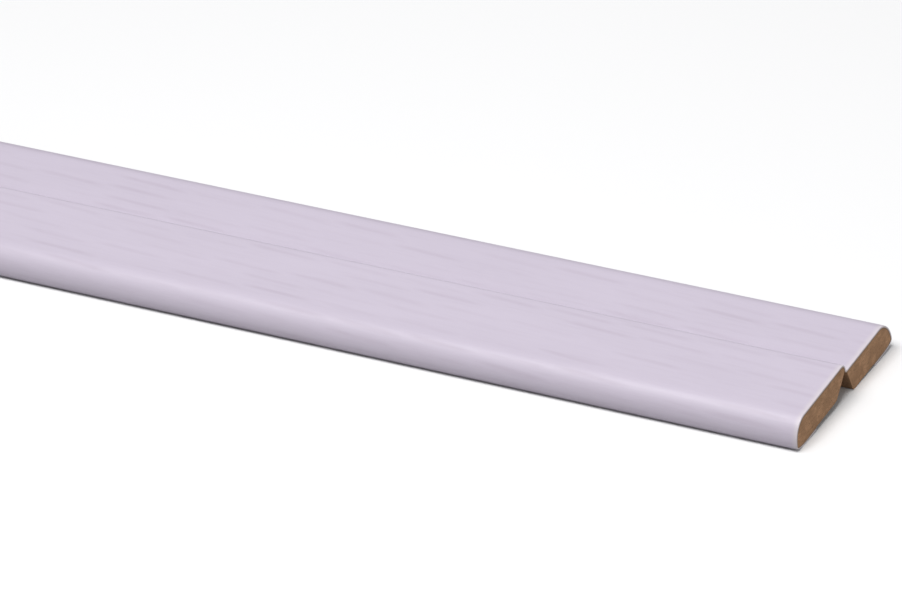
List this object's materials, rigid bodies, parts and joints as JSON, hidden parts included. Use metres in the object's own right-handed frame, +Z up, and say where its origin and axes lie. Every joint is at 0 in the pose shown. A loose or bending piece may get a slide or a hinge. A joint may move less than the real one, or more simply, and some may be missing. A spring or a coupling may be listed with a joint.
{
  "type": "flexible corner moulding",
  "caption": "Flat corner moulding of film-wrapped fibreboard strips with rounded outer edges, hinged on their film above a groove, cut square at both ends.",
  "frame": {"origin": "middle of the bounding box, on the surface that the moulding lies on", "axes": "+X along the moulding, +Y across it towards the lower strip, +Z up as it lies; both strips slope by 4.32 degrees, rising towards +Y, which is how the stepped moulding lies on a flat surface"},
  "size_m": [0.28, 0.0544, 0.0104],
  "materials": {
    "fibreboard": "sawn and milled, matt",
    "decor_film": "printed pale wood grain, satin"
  },
  "bodies": {
    "near": {"near_strip": "fibreboard", "near_film": "decor_film"},
    "far": {"far_strip": "fibreboard", "far_film": "decor_film"}
  },
  "joints": [
    {"name": "fold", "type": "hinge", "parent": "near", "child": "far", "pos_m": [0, 0.00183, 0.00776], "axis": [1, 0, 0], "range_deg": [-60, 90]}
  ]
}
